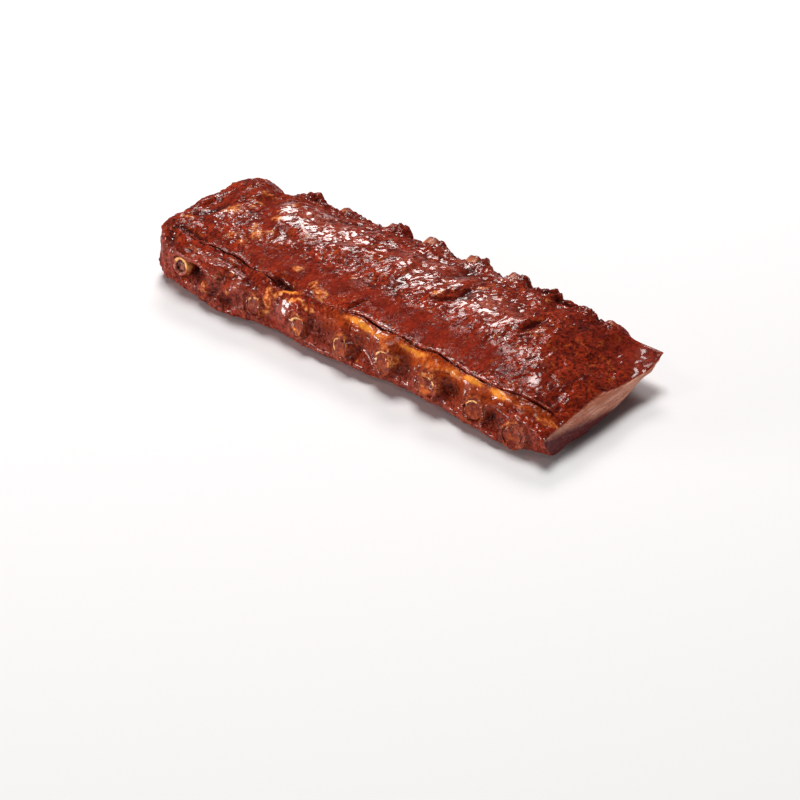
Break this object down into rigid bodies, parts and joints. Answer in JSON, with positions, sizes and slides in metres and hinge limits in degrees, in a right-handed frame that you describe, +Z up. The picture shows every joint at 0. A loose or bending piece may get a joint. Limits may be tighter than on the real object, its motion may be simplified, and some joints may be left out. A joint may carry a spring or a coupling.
{
  "type": "rack of ribs",
  "caption": "Roasted, glazed rack of pork ribs: a domed slab of meat cut straight at one end, with sawn rib bones showing along both long edges and a lifted flap at one corner.",
  "frame": {"origin": "under the middle of the whole rack's bounding box, on the surface that the rack lies on", "axes": "+X along the rack to its cut end, +Y across it to the thin, scalloped back edge, +Z up"},
  "size_m": [0.2944, 0.1138, 0.0377],
  "materials": {
    "meat": "glazed, roasted red-brown",
    "bone": "dry, roasted tan",
    "marrow": "porous, dark red-brown"
  },
  "bodies": {
    "root": {"meat": "meat", "rib_bone_1": "bone", "rib_bone_2": "bone", "rib_bone_3": "bone", "rib_bone_4": "bone", "rib_bone_5": "bone", "rib_bone_6": "bone", "rib_bone_7": "bone", "rib_bone_8": "bone", "rib_bone_9": "bone", "marrow_1": "marrow", "marrow_2": "marrow", "marrow_3": "marrow", "marrow_4": "marrow", "marrow_5": "marrow", "marrow_6": "marrow", "marrow_7": "marrow", "marrow_8": "marrow", "marrow_9": "marrow"}
  },
  "joints": []
}
